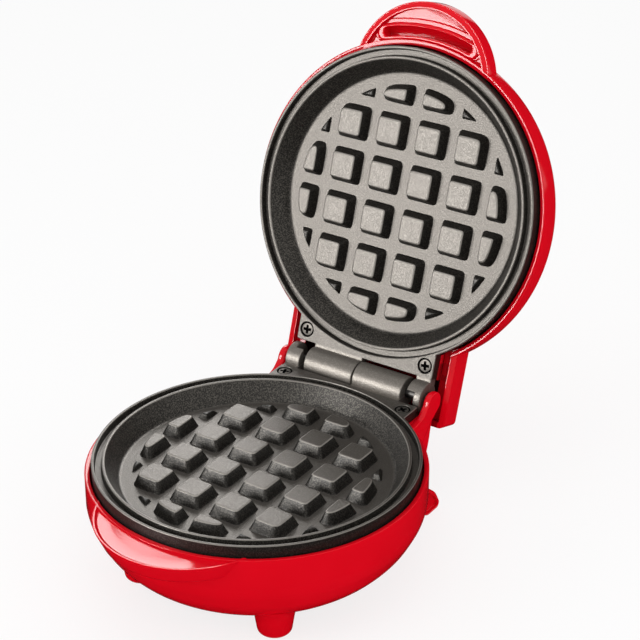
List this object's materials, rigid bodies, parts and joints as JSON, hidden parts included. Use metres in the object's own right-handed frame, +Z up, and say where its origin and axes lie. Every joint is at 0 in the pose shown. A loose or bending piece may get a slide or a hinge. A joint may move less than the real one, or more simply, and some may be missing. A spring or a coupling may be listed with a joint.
{
  "type": "mini waffle maker",
  "caption": "Small round waffle maker, open: glossy plastic shells, hinged non-stick waffle plates, round handle tongues and short feet.",
  "frame": {"origin": "on the table under the middle of the bounding box of the open machine, so the feet stand on z = 0", "axes": "+Z up; +Y from the front handle back to the hinge; the hinge pin lies along X"},
  "size_m": [0.126, 0.2028, 0.1855],
  "materials": {
    "red_plastic": "moulded red plastic, high gloss",
    "plate_coating": "cast aluminium with a dark warm grey non-stick coating, fine sparkle",
    "screw_steel": "zinc-plated steel",
    "pin_steel": "drawn steel",
    "element_steel": "satin steel sheath",
    "reflector_sheet": "bright aluminium sheet",
    "ceramic": "off-white steatite, matt",
    "black_plastic": "black heat-proof plastic",
    "lens_plastic": "clear amber-red plastic",
    "lamp_glass": "clear glass",
    "lead_brown": "brown heat-proof insulation",
    "lead_blue": "blue heat-proof insulation"
  },
  "bodies": {
    "base": {"base_housing": "red_plastic", "lower_plate": "plate_coating", "lower_plate_screw_left": "screw_steel", "lower_plate_screw_right": "screw_steel", "lower_heating_element": "element_steel", "lower_insulator_left": "ceramic", "lower_insulator_right": "ceramic", "lower_heat_reflector": "reflector_sheet", "lower_reflector_screw": "screw_steel", "base_front_screw": "screw_steel", "hinge_pin": "pin_steel", "thermostat": "black_plastic", "thermal_fuse": "ceramic", "fuse_clip": "reflector_sheet", "inlet_bushing": "black_plastic", "terminal_block": "ceramic", "inlet_lead_live": "lead_brown", "inlet_lead_neutral": "lead_blue", "element_lead_live": "lead_brown", "element_lead_neutral": "lead_blue"},
    "lid": {"lid_housing": "red_plastic", "upper_plate": "plate_coating", "upper_plate_screw_left": "screw_steel", "upper_plate_screw_right": "screw_steel", "upper_heating_element": "element_steel", "upper_insulator_left": "ceramic", "upper_insulator_right": "ceramic", "upper_heat_reflector": "reflector_sheet", "upper_reflector_screw": "screw_steel", "indicator_lens": "lens_plastic", "lamp_holder": "black_plastic", "indicator_lamp": "lamp_glass"}
  },
  "joints": [
    {"name": "lid_hinge", "type": "hinge", "parent": "base", "child": "lid", "pos_m": [0, 0.04265, 0.047], "axis": [1, 0, 0], "range_deg": [0, 107.69]}
  ]
}
